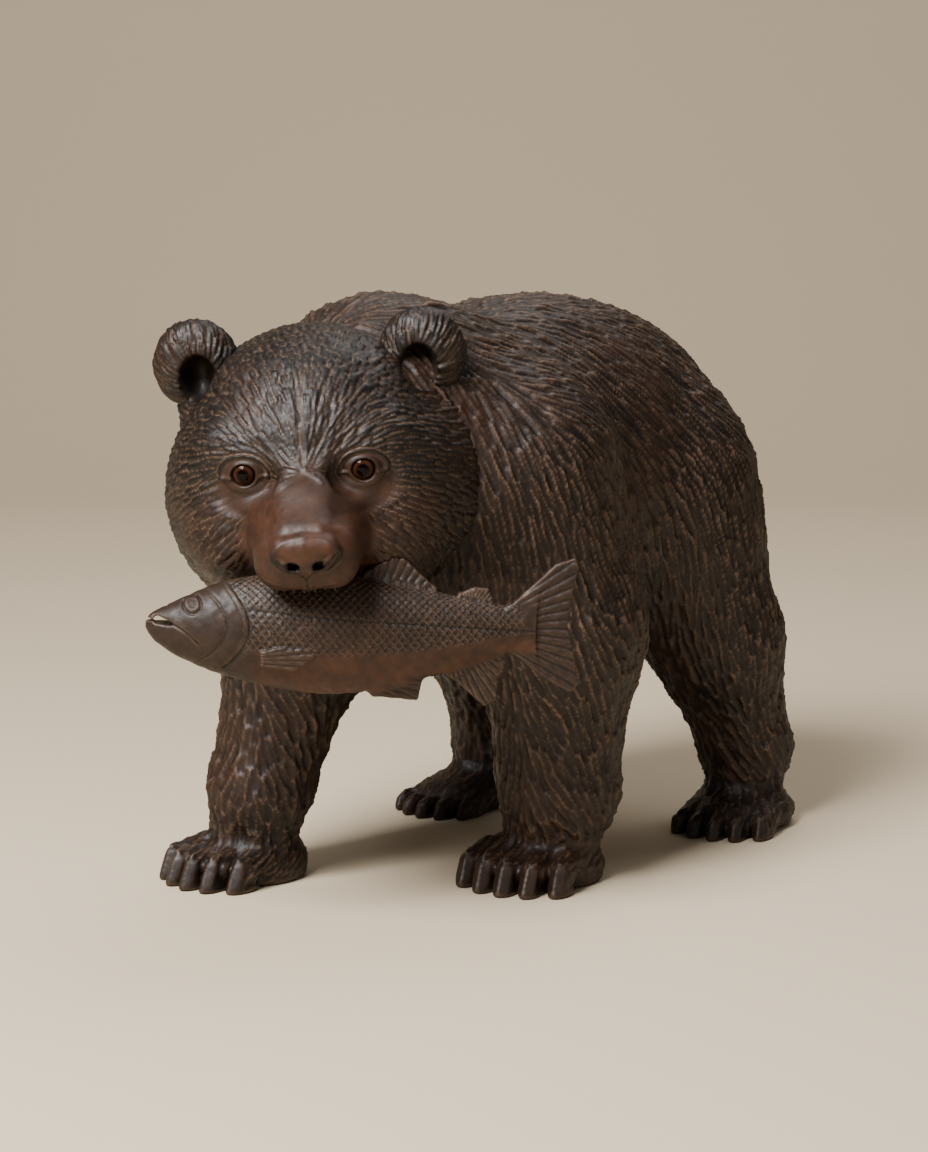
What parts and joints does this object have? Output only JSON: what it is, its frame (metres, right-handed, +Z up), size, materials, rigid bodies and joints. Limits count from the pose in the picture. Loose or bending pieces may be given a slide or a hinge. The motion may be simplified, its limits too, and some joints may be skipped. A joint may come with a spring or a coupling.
{
  "type": "bear carving",
  "caption": "Hand-carved wooden bear walking on all fours with its head turned and a carved salmon held crosswise in its mouth, with inset glass eyes",
  "frame": {"origin": "on the ground under the middle of the whole carving", "axes": "+Z up, -Y the way the bear walks, +X to the bear's left"},
  "size_m": [0.1966, 0.3616, 0.2526],
  "materials": {
    "bear_wood": "dark stained and waxed, worn lighter on the ridges of the gouge cuts",
    "salmon_wood": "dark stained and waxed, redder on the belly",
    "eye_glass": "polished, amber brown iris around a black pupil"
  },
  "bodies": {
    "root": {"bear": "bear_wood", "salmon": "salmon_wood", "eye_left": "eye_glass", "eye_right": "eye_glass"}
  },
  "joints": []
}
